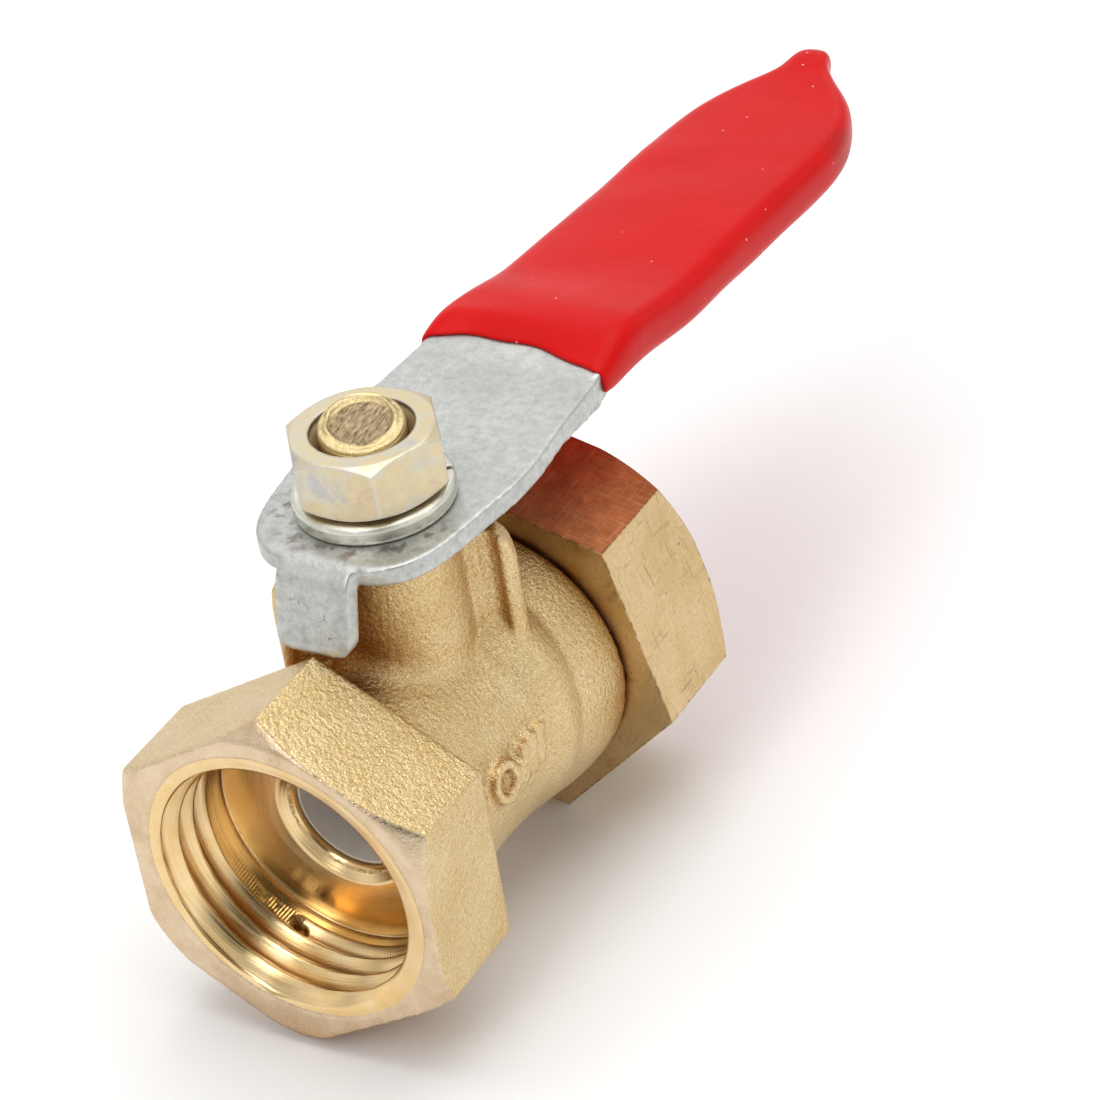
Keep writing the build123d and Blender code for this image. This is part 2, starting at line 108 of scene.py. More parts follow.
def add_softbox(name, place, size, power):
    """Rectangular soft light at place, shining at the valve's stem."""
    data = bpy.data.lights.new(name, "AREA")
    data.shape = "RECTANGLE"
    data.size, data.size_y = size
    data.energy = power
    lamp = link(bpy.data.objects.new(name, data))
    lamp.matrix_world = Matrix.Translation(place) @ facing(place, STEM).to_4x4()


def add_sky():
    """Pale, slightly uneven surroundings with one dark gap where the light tent opens."""
    world = bpy.data.worlds.new("studio")
    bpy.context.scene.world = world
    world.use_nodes = True
    sky = Nodes(world.node_tree, "Generated")
    aligned = sky.node("ShaderNodeVectorMath", {0: sky.place, 1: (EYE - AIM).normalized()},
                       operation="DOT_PRODUCT").outputs["Value"]
    ends = [math.cos(half_angle) for half_angle in reversed(TENT_GAP)]
    tent = sky.span(aligned, *ends, SKY, GAP_SKY)
    folds = sky.patches(TENT_FOLD, 0.35, 0.65, 0.6, 1.25, detail=1.0)
    background = world.node_tree.nodes["Background"]
    sky.feed(background.inputs["Strength"], sky.maths("MULTIPLY", tent, folds))
    sky.feed(background.inputs["Color"], (1, 1, 1))


def add_studio():
    """Light tent with four soft boxes round the valve."""
    add_sky()
    for soft_box in SOFT_BOXES:
        add_softbox(*soft_box)
    bpy.context.scene.view_settings.view_transform = "Standard"


def add_floor():
    """Plain pale floor that the valve rests on."""
    mesh = bpy.data.meshes.new("floor")
    corners = [(FLOOR_HALF * x, FLOOR_HALF * y, cad_low.z)
               for x, y in ((-1, -1), (1, -1), (1, 1), (-1, 1))]
    mesh.from_pydata(corners, [], [(0, 1, 2, 3)])
    floor = link(bpy.data.objects.new("floor", mesh))
    shade = Shade("floor")
    shade.set(base=(0.92, 0.92, 0.92), rough=0.9)
    mesh.materials.append(shade.material)


# ---- shader helpers ---------------------------------------------------------------------
MIX_SHARE, MIX_FIRST, MIX_SECOND, MIX_RESULT = 0, 6, 7, 2    # colour sockets of the mix node


class Nodes:
    """A node tree with short ways to add to it. Lengths are in metres."""

    def __init__(self, tree, coordinate):
        self.tree = tree
        self.place = self.node("ShaderNodeTexCoord").outputs[coordinate]

    def node(self, kind, inputs=None, **settings):
        made = self.tree.nodes.new(kind)
        for name, value in settings.items():
            setattr(made, name, value)
        for name, value in (inputs or {}).items():
            self.feed(made.inputs[name], value)
        return made

    def feed(self, socket, value):
        """Puts a number, a colour or another node's output into a socket."""
        if isinstance(value, bpy.types.NodeSocket):
            self.tree.links.new(value, socket)
        elif socket.type == "RGBA" and len(value) == 3:
            socket.default_value = (*value, 1)
        else:
            socket.default_value = value

    def maths(self, operation, a, b=0.0):
        return self.node("ShaderNodeMath", {0: a, 1: b}, operation=operation).outputs[0]

    def stretched(self, scale):
        """The object's coordinates with each axis scaled, for grain with a direction."""
        return self.node("ShaderNodeMapping", {"Vector": self.place, "Scale": scale}).outputs[0]

    def cloud(self, size, detail=3.0, rough=0.55, at=None, distortion=0.0):
        """Soft noise from 0 to 1 whose blobs are about size across."""
        return self.node("ShaderNodeTexNoise", {
            "Vector": at or self.place, "Scale": 1 / size, "Detail": detail,
            "Roughness": rough, "Distortion": distortion}).outputs["Fac"]

    def patches(self, size, low, high, to_low=0.0, to_high=1.0, **noise_settings):
        """Scattered patches about size across: cloud noise cut between low and high."""
        return self.span(self.cloud(size, **noise_settings), low, high, to_low, to_high)

    def pebbles(self, size):
        """Distance to the nearest of scattered points about size apart."""
        return self.node("ShaderNodeTexVoronoi", {
            "Vector": self.place, "Scale": 1 / size}).outputs["Distance"]

    def span(self, value, low, high, to_low=0.0, to_high=1.0):
        """Maps low..high to to_low..to_high with a smooth, clamped step."""
        return self.node("ShaderNodeMapRange", {
            "Value": value, "From Min": low, "From Max": high, "To Min": to_low,
            "To Max": to_high}, interpolation_type="SMOOTHSTEP").outputs["Result"]

    def blend(self, share, first, second, mode="MIX"):
        """Mixes two colours."""
        mixed = self.node("ShaderNodeMix", data_type="RGBA", blend_type=mode)
        self.feed(mixed.inputs[MIX_SHARE], share)
        self.feed(mixed.inputs[MIX_FIRST], first)
        self.feed(mixed.inputs[MIX_SECOND], second)
        return mixed.outputs[MIX_RESULT]

    def ramp(self, value, stops):
        """Colour ramp from (position, colour) stops."""
        made = self.node("ShaderNodeValToRGB", {"Fac": value})
        elements = made.color_ramp.elements
        while len(elements) < len(stops):
            elements.new(0.5)
        for element, (position, colour) in zip(elements, stops):
            element.position = position
            element.color = (*colour, 1)
        return made.outputs["Color"]

    def bump(self, height, depth, strength=1.0, under=None):
        """Normal for a height map of the given depth in metres."""
        inputs = {"Height": height, "Distance": depth, "Strength": strength}
        if under is not None:
            inputs["Normal"] = under
        return self.node("ShaderNodeBump", inputs).outputs["Normal"]

    def soft_edges(self, radius):
        """Normal that rounds sharp edges by radius."""
        return self.node("ShaderNodeBevel", {"Radius": radius}, samples=6).outputs["Normal"]

    def edge_wear(self, radius, low, high):
        """1 along sharp edges within radius, 0 on flat faces."""
        rounded = self.soft_edges(radius)
        flat = self.node("ShaderNodeNewGeometry").outputs["Normal"]
        agree = self.node("ShaderNodeVectorMath", {0: rounded, 1: flat},
                          operation="DOT_PRODUCT").outputs["Value"]
        return self.span(self.maths("SUBTRACT", 1.0, agree), low, high)

    def part(self, vector, name):
        """One component of a vector."""
        return self.node("ShaderNodeSeparateXYZ", {"Vector": vector}).outputs[name]

    def tilt_to(self, name):
        """How far the surface faces along an axis of the object."""
        return self.part(self.node("ShaderNodeTexCoord").outputs["Normal"], name)

    def corners(self, reach, low, high):
        """1 deep in corners that other surfaces close in, 0 in the open."""
        hidden = self.node("ShaderNodeAmbientOcclusion", {"Distance": reach}, samples=4)
        return self.span(hidden.outputs["AO"], high, low)

    def product(self, first, *others):
        for other in others:
            first = self.maths("MULTIPLY", first, other)
        return first

    def off_axis(self, centre):
        """Distance in metres from an upright axis, and the place relative to it."""
        rel = self.node("ShaderNodeVectorMath", {0: self.place, 1: (centre.x, centre.y, 0)},
                        operation="SUBTRACT").outputs["Vector"]
        flat = self.node("ShaderNodeVectorMath", {0: rel, 1: (1, 1, 0)},
                         operation="MULTIPLY").outputs["Vector"]
        length = self.node("ShaderNodeVectorMath", {0: flat}, operation="LENGTH").outputs["Value"]
        return length, rel


class Shade(Nodes):
    """One procedural material."""

    def __init__(self, name):
        self.material = bpy.data.materials.new(name)
        self.material.use_nodes = True
        super().__init__(self.material.node_tree, "Object")
        self.surface = self.tree.nodes["Principled BSDF"]

    def set(self, base=None, rough=None, metal=None, normal=None, **others):
        named = {"Base Color": base, "Roughness": rough, "Metallic": metal, "Normal": normal}
        named.update(others)
        for name, value in named.items():
            if value is not None:
                self.feed(self.surface.inputs[name], value)


# ---- sizes ------------------------------------------------------------------------------
# Sockets, in millimetres. Depths are counted from the mouth, turns from straight up.
PITCH = 1.814          # 14 threads to the inch
CREST_R = 9.32
ROOT_R = 10.46
THREAD_START = 1.03    # depth of the groove straight up from the axis
THREAD_TURNS = 2.567   # the groove stops here
SOCKET_WALL = 7.0
VALLEY_POWER = 1.25    # 1 makes a plain V thread, more rounds the crests
LAST_CREST = 4.6       # the wall opens out from here ...
STEP_RISE = 0.44       # ... by this much
MOUTH_R = 10.9
MOUTH_BURIED = 0.4     # the skin starts this far inside the metal round the mouth
COUNTERSINK = 3.0      # how much the mouth narrows per depth
NOTCH_DEPTH = 0.9      # the tap leaves a nick where its last groove ends
NOTCH_REACH = 0.5
NOTCH_ANGLE = THREAD_TURNS % 1 * 2 * math.pi - 2 * math.pi
SOCKET_COLUMNS = 480
SOCKET_TOP = 0.10      # depth of the skin's first row
SOCKET_ROW = 0.07      # depth between the others
PORT_R = 4.45
SOCKET_FLOOR = (       # depth and radius: below the thread, over the floor and into the port
    (7.1, 9.76), (7.45, 9.76), (7.52, 9.70), (7.56, 9.5), (7.62, 8.6), (7.68, 7.8),
    (7.74, 7.0), (7.80, 6.2), (7.86, 5.6), (7.9, 5.42), (7.98, 5.3), (8.2, 5.0), (8.42, 4.7),
    (8.55, PORT_R + 0.06), (8.75, PORT_R), (9.6, PORT_R), (10.4, PORT_R),
)
SOCKETS = (            # name, mount, way in along Y and sense of the turns
    ("inlet_socket", "inlet_port", 1, 1),
    ("outlet_socket", "outlet_port", -1, -1),
)
CHATTER_TICKS = 235    # marks per radian where the tap stopped
CHATTER_LENGTH = 1.6   # and how many radians they run on

# Sawn stem end, in millimetres from the stem's axis and from the slope of the cut.
SAW_MIDDLE = 25.9      # height of the cut on the axis
SAW_TILT = math.radians(9.7)
SAW_SIDE = math.radians(35)
STEM_COLUMNS = 200
STEM_RINGS = (         # radius and rise: side, rim, burr, then the sunk middle
    (2.97, -0.6), (2.97, -0.02), (2.93, 0.08), (2.80, 0.13), (2.62, 0.12), (2.52, 0.16),
    (2.42, 0.24), (2.30, 0.26), (2.20, 0.16), (2.10, 0.02), (1.90, 0.0), (1.6, 0.01),
    (1.3, 0.0), (1.0, 0.0), (0.7, 0.0), (0.4, 0.0), (0.1, 0.0),
)
BURR_R = 2.6           # the burr reaches in from here ...
SUNK_R = 2.1           # ... to here
BURR_RISE = 0.16
RING_WANDER = 0.06     # how far the burr strays from a circle, by its radius
WANDER_PACE = 2.2      # lumps of that wander round the stem
SAWN_RISE = 0.05
SAWN_GRAIN = (7, 1.5)  # ridges per millimetre across and along the saw marks
SUNK_SHIFT = 0.10      # how far the sunk middle lies off the axis, by its radius

# Sleeve, in metres.
MOUTH_FADE = 6.5 * MM      # how far back from the sleeve's mouth its edge still wanders
MOUTH_BOW = 1.5 * MM       # the edge lies this much further back in its middle
MOUTH_SKEW = 0.6 * MM      # and this much more on the left than in the middle
MOUTH_RISE = 0.17          # slope of the steel there
MOUTH_WAVE = 0.12 * MM     # the edge waves by this much ...
MOUTH_WAVES = 9            # ... over this many radians from the middle to a side
CROWN = 0.30 * MM          # how far the top falls away towards the left side
CROWN_START = 0.3          # where it starts to: -1 is the left side and 1 the right
RIPPLE_SIZE = 6 * MM
RIPPLE_RISE = 0.12 * MM

# How CAD meshes are softened: voxel in millimetres, and rounds of smoothing.
SOFT_BODY = (0.24, 5)
SOFT_LEVER = (0.17, 9)
SOFT_SLEEVE = (0.22, 12)


# ---- materials --------------------------------------------------------------------------
def forged_brass():
    """Shot-blasted brass forging: pale gold, glittering grain, smooth where turned at the mouth."""
    shade = Shade("forged_brass_skin")
    grain = shade.cloud(0.36 * MM, detail=3.0, rough=0.7)
    fine = shade.cloud(0.17 * MM, detail=2.0, rough=0.7)
    near_mouth = shade.span(shade.part(shade.place, "Y"), 3.2 * MM, 2.2 * MM)
    turned = shade.product(near_mouth, shade.span(shade.tilt_to("Y"), -0.25, -0.6))
    worn = shade.product(shade.edge_wear(0.5 * MM, 0.01, 0.12), 0.8)
    smooth = shade.maths("MAXIMUM", turned, worn)
    tone = shade.ramp(shade.cloud(5 * MM), [(0.3, (0.74, 0.55, 0.27)), (0.5, (0.79, 0.61, 0.33)),
                                           (0.7, (0.83, 0.66, 0.39))])
    speckle = shade.ramp(fine, [(0.34, (0.78, 0.70, 0.56)), (0.5, (0.95, 0.94, 0.92)),
                                (0.66, (1.0, 1.0, 1.0))])
    pale = shade.ramp(shade.cloud(2.5 * MM, detail=5.0, rough=0.65), [
        (0.3, (0.60, 0.44, 0.27)), (0.5, (0.70, 0.54, 0.36)), (0.7, (0.76, 0.61, 0.43))])
    stains = shade.patches(0.9 * MM, 0.62, 0.72, detail=4.0, rough=0.7)
    rim = shade.blend(shade.product(stains, 0.35), pale, (0.40, 0.24, 0.11))
    skin = shade.blend(smooth, shade.blend(1.0, tone, speckle, "MULTIPLY"), rim)
    # Painted shade: corners and hollows are darkened towards brown the more closed-in they are, standing in for
    # shade and light bounced between brass faces.
    painted_corner_shade = shade.product(shade.corners(7 * MM, 0.30, 0.85), 0.92)
    shade.set(base=shade.blend(painted_corner_shade, skin, (0.40, 0.16, 0.02)), metal=1.0)
    shade.set(rough=shade.span(fine, 0.3, 0.7, 0.42, 0.20))
    relief = shade.product(grain, shade.span(smooth, 0.0, 1.0, 1.0, 0.10))
    coarse = shade.bump(relief, 0.22 * MM, 0.8)
    shade.set(normal=shade.bump(fine, 0.05 * MM, 0.7, under=coarse))
    return shade.material


def scratches(shade, directions, low, high):
    """Fine scratches along the given stretches of the object's coordinates, 0 to 1."""
    total = None
    for scale in directions:
        line = shade.span(shade.cloud(1.0, detail=3.0, rough=0.6, at=shade.stretched(scale)), low, high)
        total = line if total is None else shade.maths("MAXIMUM", total, line)
    return total


def machined_brass():
    """Turned and milled brass: smooth, with tool lines, cross scratches and dark nicks."""
    shade = Shade("machined_brass_skin")
    lines = shade.cloud(1.0, detail=2.0, at=shade.stretched((400, 4200, 400)))
    dark_marks = scratches(shade, [(420, 5200, 420), (4600, 330, 3000)], 0.58, 0.72)
    bright_marks = scratches(shade, [(260, 9000, 260), (8200, 300, 6000)], 0.56, 0.68)
    wipes = shade.patches(4 * MM, 0.40, 0.62, detail=4.0, rough=0.65)
    specks = shade.patches(0.6 * MM, 0.66, 0.72, detail=4.0, rough=0.65)
    nicks = shade.product(shade.edge_wear(0.3 * MM, 0.01, 0.10),
                          shade.patches(0.5 * MM, 0.46, 0.56, detail=3.0))
    tone = shade.ramp(shade.cloud(5 * MM, detail=4.0), [(0.3, (0.60, 0.42, 0.20)),
                                                       (0.6, (0.70, 0.52, 0.28))])
    fine = shade.cloud(0.25 * MM, detail=2.0)
    mottled = shade.blend(shade.span(fine, 0.62, 0.35, 0.0, 0.22), tone, (0.38, 0.24, 0.10))
    # Painted reflection: faces turned upwards get a copper-red colour that stands in for the red sleeve mirrored
    # in them, and a little more roughness.
    painted_reflection_mask = shade.product(shade.span(shade.tilt_to("Z"), 0.90, 0.96), 0.93)
    painted_red_reflection = shade.ramp(shade.cloud(1.6 * MM, detail=5.0, rough=0.65), [
        (0.35, (0.34, 0.10, 0.03)), (0.65, (0.52, 0.18, 0.065))])
    with_painted_reflection = shade.blend(painted_reflection_mask, mottled, painted_red_reflection)
    shiny = shade.blend(shade.product(bright_marks, 0.24), with_painted_reflection, (0.86, 0.60, 0.38))
    scored = shade.blend(shade.product(dark_marks, wipes, 0.55), shiny, (0.16, 0.07, 0.03))
    dark = shade.product(shade.maths("MAXIMUM", specks, nicks), 0.8)
    shade.set(base=shade.blend(dark, scored, (0.15, 0.07, 0.03)), metal=1.0)
    satin = shade.span(painted_reflection_mask, 0.0, 1.0, 0.0, 0.22)
    shade.set(rough=shade.maths("ADD", shade.span(lines, 0.3, 0.7, 0.28, 0.44), satin))
    rounded = shade.soft_edges(0.15 * MM)
    ridges = shade.bump(lines, 0.015 * MM, 0.6, under=rounded)
    shade.set(normal=shade.bump(dark_marks, 0.02 * MM, -0.5, under=ridges))
    return shade.material


def bore_brass():
    """Freshly cut brass inside the sockets: turning rings, and chatter where the tap stopped."""
    shade = Shade("cut_brass_skin")
    rings = shade.cloud(1.0, detail=3.0, at=shade.stretched((60, 9000, 60)))
    tone = shade.ramp(shade.cloud(3 * MM, detail=3.0), [(0.3, (0.80, 0.55, 0.24)),
                                                       (0.7, (0.88, 0.67, 0.38))])
    # Painted shade: thread roots and other closed-in corners are darkened towards brown.
    painted_root_shade = shade.product(shade.corners(0.8 * MM, 0.35, 0.75), 0.8)
    shade.set(base=shade.blend(painted_root_shade, tone, (0.42, 0.17, 0.03)), metal=1.0)
    shade.set(rough=shade.span(rings, 0.3, 0.7, 0.16, 0.32))
    around = shade.node("ShaderNodeTangent", direction_type="RADIAL", axis="Y").outputs["Tangent"]
    angle = shade.maths("ARCTAN2", shade.part(shade.place, "X"), shade.part(shade.place, "Z"))
    ticks = shade.maths("SINE", shade.maths("MULTIPLY", angle, CHATTER_TICKS))
    depth = shade.part(shade.place, "Y")
    band = shade.product(shade.span(depth, 4.9 * MM, 5.2 * MM), shade.span(depth, 6.5 * MM, 6.2 * MM))
    past_end = shade.span(angle, NOTCH_ANGLE, NOTCH_ANGLE + CHATTER_LENGTH, 1.0, 0.2)
    before_end = shade.span(angle, NOTCH_ANGLE - 0.02, NOTCH_ANGLE + 0.03, 0.0, 1.0)
    uneven = shade.patches(0.7 * MM, 0.35, 0.60, 0.2, 1.0, detail=2.0)
    chatter = shade.product(ticks, band, past_end, before_end, uneven)
    cut = shade.bump(rings, 0.026 * MM, 0.7)
    shade.set(**{"Anisotropic": 0.75, "Anisotropic Rotation": 0.25, "Tangent": around})
    shade.set(normal=shade.bump(chatter, 0.018 * MM, 0.8, under=cut))
    return shade.material


def plated_steel():
    """Dull zinc plate over pressed steel: mottled, bright rubbed edges, rust specks."""
    shade = Shade("plated_steel_skin")
    mottle = shade.cloud(0.7 * MM, detail=7.0, rough=0.8)
    fine = shade.cloud(0.22 * MM, detail=2.0)
    clouds = shade.cloud(6 * MM, detail=5.0, rough=0.6)
    plain = shade.ramp(mottle, [(0.32, (0.40, 0.41, 0.40)), (0.5, (0.55, 0.56, 0.53)),
                                (0.66, (0.66, 0.67, 0.64))])
    tone = shade.blend(shade.span(clouds, 0.42, 0.62, 0.20, 0.0), plain, (0.36, 0.37, 0.37))
    rubbed = shade.product(shade.edge_wear(0.6 * MM, 0.01, 0.15), shade.span(mottle, 0.3, 0.6, 0.5, 1.0))
    plate = shade.blend(rubbed, tone, (0.64, 0.65, 0.66))
    reach, rel = shade.off_axis(STEM)
    front = shade.span(shade.part(rel, "Y"), 0.5 * MM, -2.5 * MM)
    ring = shade.product(shade.span(reach, 5.4 * MM, 6.0 * MM), shade.span(reach, 8.2 * MM, 6.2 * MM))
    stains = shade.product(front, ring, shade.patches(1.1 * MM, 0.48, 0.62, detail=5.0))
    tab = shade.span(shade.part(rel, "Y"), -7.4 * MM, -8.4 * MM)
    spots = shade.patches(0.8 * MM, 0.62, 0.70, detail=5.0, rough=0.7)
    rust = shade.maths("MAXIMUM", shade.product(stains, 0.7), shade.product(spots, tab, 0.85))
    pits = shade.patches(0.35 * MM, 0.68, 0.76, detail=3.0, rough=0.7)
    darkening = shade.maths("MAXIMUM", rust, shade.product(pits, 0.45))
    shade.set(base=shade.blend(darkening, plate, (0.16, 0.09, 0.065)), metal=0.85)
    shade.set(rough=shade.span(mottle, 0.3, 0.7, 0.46, 0.34))
    across = shade.part(rel, "X")
    gouge_line = shade.maths("ABSOLUTE", shade.maths("SUBTRACT", shade.part(rel, "Y"), 8.7 * MM))
    gouge = shade.product(shade.span(gouge_line, 0.22 * MM, 0.05 * MM),
                          shade.span(across, -0.3 * MM, 0.0 * MM), shade.span(across, 1.8 * MM, 1.4 * MM))
    dented = shade.bump(gouge, 0.15 * MM, -1.0)
    shade.set(normal=shade.bump(fine, 0.03 * MM, 0.6, under=dented))
    return shade.material


def red_vinyl():
    """Dipped PVC: satin red, faintly rippled, with dust specks and a rubbed brown patch."""
    shade = Shade("red_vinyl_skin")
    ripple = shade.cloud(3 * MM, detail=2.0)
    tone = shade.ramp(shade.cloud(7 * MM), [(0.3, (0.58, 0.002, 0.002)), (0.7, (0.63, 0.004, 0.004))])
    dust = shade.span(shade.pebbles(1.9 * MM), 0.06, 0.035)
    bloom = shade.product(shade.patches(0.3 * MM, 0.6, 0.75, detail=4.0), 0.03)
    _, rel = shade.off_axis(STEM)
    far = shade.product(shade.span(shade.part(rel, "Y"), 54 * MM, 57 * MM),
                        shade.span(shade.part(rel, "Y"), 61 * MM, 58 * MM))
    side = shade.span(shade.part(rel, "X"), 5.9 * MM, 6.8 * MM)
    scuff = shade.product(far, side, shade.patches(0.35 * MM, 0.40, 0.60, detail=5.0, rough=0.7))
    dusty = shade.blend(shade.maths("MAXIMUM", dust, bloom), tone, (0.82, 0.42, 0.38))
    shade.set(base=shade.blend(shade.product(scuff, 0.6), dusty, (0.22, 0.02, 0.012)))
    shade.set(rough=shade.span(ripple, 0.3, 0.7, 0.27, 0.35))
    shade.set(**{"Specular IOR Level": 0.11})
    shade.set(normal=shade.bump(ripple, 0.06 * MM, 0.4))
    return shade.material


def nut_zinc():
    """Yellow chromate zinc with pink and blue bloom, worn silver at the edges."""
    shade = Shade("nut_zinc_skin")
    bloom = shade.cloud(3.2 * MM, detail=4.0, rough=0.6, distortion=0.4)
    tone = shade.ramp(bloom, [(0.30, (0.55, 0.53, 0.52)), (0.40, (0.66, 0.60, 0.46)),
                              (0.50, (0.70, 0.59, 0.36)), (0.58, (0.72, 0.59, 0.38)),
                              (0.66, (0.70, 0.48, 0.38)), (0.76, (0.62, 0.56, 0.52))])
    streaks = shade.patches(0.35 * MM, 0.50, 0.64, detail=6.0, rough=0.75)
    edges = shade.edge_wear(0.5 * MM, 0.01, 0.12)
    worn = shade.maths("MAXIMUM", shade.product(edges, 0.75), shade.product(streaks, 0.4))
    # Painted shade: closed-in corners are darkened towards brown; the dark spots mixed in below are real specks.
    darkening = shade.product(shade.corners(1.2 * MM, 0.3, 0.6), 0.6)
    spots = shade.product(shade.patches(0.5 * MM, 0.66, 0.72, detail=4.0, rough=0.7), 0.5)
    plated = shade.blend(worn, tone, (0.68, 0.68, 0.67))
    shade.set(base=shade.blend(shade.maths("MAXIMUM", darkening, spots), plated, (0.22, 0.14, 0.07)))
    shade.set(metal=0.9, rough=shade.patches(0.8 * MM, 0.3, 0.7, 0.28, 0.46, detail=4.0))
    rounded = shade.soft_edges(0.3 * MM)
    shade.set(normal=shade.bump(shade.cloud(0.3 * MM, detail=4.0), 0.04 * MM, 0.5, under=rounded))
    return shade.material


def washer_steel():
    """Bright plated spring steel with a yellowish cast."""
    shade = Shade("washer_steel_skin")
    streak = shade.cloud(1.0, detail=3.0, at=shade.stretched((500, 500, 6000)))
    tone = shade.ramp(shade.cloud(2 * MM), [(0.3, (0.66, 0.64, 0.53)), (0.7, (0.80, 0.79, 0.72))])
    shade.set(base=tone, metal=1.0, rough=shade.span(streak, 0.3, 0.7, 0.22, 0.38))
    shade.set(normal=shade.bump(streak, 0.015 * MM, 0.5, under=shade.soft_edges(0.25 * MM)))
    return shade.material


def stem_brass():
    """Turned brass stem."""
    shade = Shade("stem_brass_skin")
    rings = shade.cloud(1.0, detail=2.0, at=shade.stretched((300, 300, 6000)))
    tone = shade.ramp(shade.cloud(1.5 * MM), [(0.3, (0.62, 0.48, 0.24)), (0.7, (0.75, 0.60, 0.34))])
    shade.set(base=tone, metal=1.0, rough=shade.span(rings, 0.3, 0.7, 0.25, 0.4))
    shade.set(normal=shade.bump(rings, 0.02 * MM, 0.5, under=shade.soft_edges(0.1 * MM)))
    return shade.material


def sawn_brass():
    """Stem end: bright rim, with the rough sunk middle darker."""
    shade = Shade("sawn_brass_skin")
    reach, _ = shade.off_axis(STEM)
    middle = shade.span(reach, 2.35 * MM, 2.05 * MM)
    saw = shade.cloud(1.0, detail=4.0, rough=0.7, at=shade.stretched((5200, 1300, 2000)))
    rough = shade.cloud(0.3 * MM, detail=4.0)
    tone = shade.ramp(rough, [(0.3, (0.60, 0.46, 0.22)), (0.7, (0.74, 0.60, 0.33))])
    core = shade.ramp(saw, [(0.35, (0.16, 0.11, 0.05)), (0.65, (0.55, 0.44, 0.27))])
    shade.set(base=shade.blend(middle, tone, core), metal=1.0)
    shade.set(rough=shade.span(middle, 0.0, 1.0, 0.28, 0.5))
    scored = shade.bump(saw, 0.12 * MM, 0.8)
    shade.set(normal=shade.bump(rough, 0.04 * MM, 0.6, under=scored))
    return shade.material


def ball_chrome():
    """Satin grey plating of the ball."""
    shade = Shade("ball_chrome_skin")
    cast = shade.cloud(1.2 * MM, detail=3.0)
    shade.set(base=shade.ramp(cast, [(0.3, (0.30, 0.28, 0.26)), (0.7, (0.37, 0.35, 0.32))]))
    shade.set(metal=0.6, rough=0.42, normal=shade.bump(cast, 0.01 * MM, 0.4))
    return shade.material


def seat_plastic():
    """White fluoropolymer, slightly waxy."""
    shade = Shade("seat_plastic_skin")
    cast = shade.cloud(1.5 * MM, detail=3.0)
    shade.set(base=shade.ramp(cast, [(0.3, (0.74, 0.73, 0.70)), (0.7, (0.82, 0.81, 0.79))]))
    shade.set(rough=0.5, normal=shade.bump(cast, 0.01 * MM, 0.4))
    return shade.material


def seal_rubber():
    """Black nitrile rubber."""
    shade = Shade("seal_rubber_skin")
    cast = shade.cloud(0.5 * MM, detail=3.0)
    shade.set(base=shade.ramp(cast, [(0.3, (0.015, 0.015, 0.015)), (0.7, (0.03, 0.03, 0.03))]))
    shade.set(rough=shade.span(cast, 0.3, 0.7, 0.45, 0.6), normal=shade.bump(cast, 0.01 * MM, 0.4))
    return shade.material


FINISHES = {
    "forged_brass": forged_brass,
    "machined_brass": machined_brass,
    "stem_brass": stem_brass,
    "chromed_ball": ball_chrome,
    "seat_plastic": seat_plastic,
    "seal_rubber": seal_rubber,
    "plated_steel": plated_steel,
    "red_vinyl": red_vinyl,
    "washer_steel": washer_steel,
    "nut_steel": nut_zinc,
}


def dress_nodes(skins):
    """Gives every CAD node the finish of its material slot in the record."""
    for part in frame["record"]["subparts"]:
        materials = NODES[part["node"]].data.materials
        materials.clear()
        materials.append(skins[part["material_slot"]])


# ---- pieces -----------------------------------------------------------------------------
def add_piece(name, points, faces, skin, body):
    """Mesh piece from points in millimetres, smooth shaded, riding on a body."""
    mesh = bpy.data.meshes.new(name)
    mesh.from_pydata([Vector(point) * MM for point in points], [], faces)
    mesh.polygons.foreach_set("use_smooth", [True] * len(mesh.polygons))
    mesh.materials.append(skin)
    piece = link(bpy.data.objects.new(name, mesh))
    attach(piece, body)
    return piece


def sheet_faces(rows, columns):
    """Quads of a grid of points whose last column joins the first."""
    faces = []
    for row in range(rows - 1):
        for column in range(columns):
            across = (column + 1) % columns
            faces.append((row * columns + column, row * columns + across,
                          (row + 1) * columns + across, (row + 1) * columns + column))
    return faces


def thread_radius(turn, depth):
    """Radius of the socket's wall, in millimetres, at a fraction of a turn and a depth."""
    steps = (depth - THREAD_START) / PITCH - turn
    travelled = min(round(steps) + turn, THREAD_TURNS)
    past = max(0.0, round(steps) + turn - THREAD_TURNS) * 2 * math.pi * CREST_R / PITCH
    gap = math.hypot(abs(depth - THREAD_START - travelled * PITCH) / PITCH, past)
    valley = max(0.0, 1 - 2 * gap) ** VALLEY_POWER
    crest = CREST_R + STEP_RISE * max(0.0, (depth - LAST_CREST) / (SOCKET_WALL - LAST_CREST))
    end_arc = (turn - THREAD_TURNS % 1) * 2 * math.pi * CREST_R
    end_gap = math.hypot(end_arc, depth - THREAD_START - THREAD_TURNS * PITCH)
    notch = NOTCH_DEPTH * max(0.0, 1 - end_gap / NOTCH_REACH)
    countersink = MOUTH_R - depth * COUNTERSINK
    return max(crest + (ROOT_R - crest) * valley + notch, countersink)


